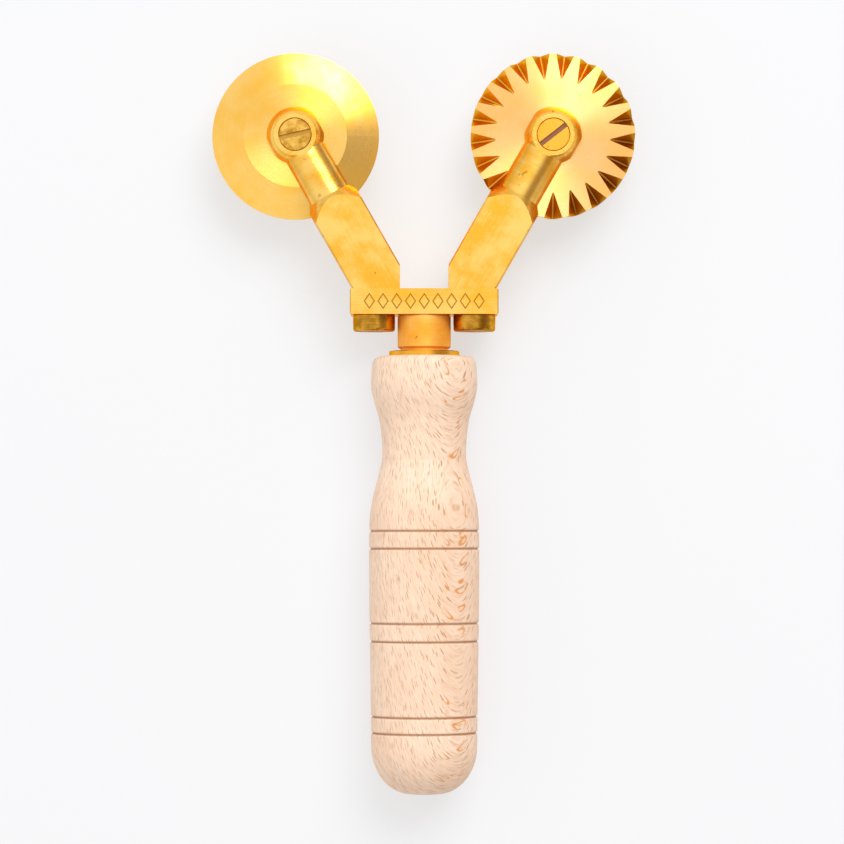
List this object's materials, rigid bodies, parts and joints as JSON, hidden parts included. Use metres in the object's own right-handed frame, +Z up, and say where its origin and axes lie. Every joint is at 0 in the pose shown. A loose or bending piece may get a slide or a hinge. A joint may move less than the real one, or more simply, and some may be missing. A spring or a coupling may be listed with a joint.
{
  "type": "twin pastry cutter wheel",
  "caption": "Hand tool with a turned wooden handle and a brass crossbar whose leaning forks hold a smooth and a fluted cutting wheel that spin freely.",
  "frame": {"origin": "on the table under the middle of the tool's box, as it lies on its back", "axes": "+Y along the tool from the handle's end to the wheels, +X towards the fluted wheel, +Z up from the table, along the wheels' axles"},
  "size_m": [0.0963, 0.1686, 0.025],
  "materials": {
    "beech": "bare turned beech, fine flecks",
    "bar_brass": "drawn bar, satin",
    "turned_brass": "turned, fine marks",
    "wheel_brass": "faced on a lathe",
    "screw_brass": "turned, slightly tarnished",
    "stud_steel": "plain zinc-grey"
  },
  "bodies": {
    "holder": {"handle": "beech", "handle_washer": "turned_brass", "handle_stud": "stud_steel", "stem": "turned_brass", "crossbar": "bar_brass", "smooth_arm": "bar_brass", "fluted_arm": "bar_brass", "smooth_arm_screw": "screw_brass", "fluted_arm_screw": "screw_brass", "smooth_axle_screw": "screw_brass", "fluted_axle_screw": "screw_brass"},
    "smooth_roller": {"smooth_wheel": "wheel_brass"},
    "fluted_roller": {"fluted_wheel": "wheel_brass"}
  },
  "joints": [
    {"name": "smooth_wheel_spin", "type": "hinge", "parent": "holder", "child": "smooth_roller", "pos_m": [-0.0293, 0.06525, 0.0125], "axis": [0, 0, 1], "continuous": true},
    {"name": "fluted_wheel_spin", "type": "hinge", "parent": "holder", "child": "fluted_roller", "pos_m": [0.0293, 0.06525, 0.0125], "axis": [0, 0, 1], "continuous": true}
  ]
}
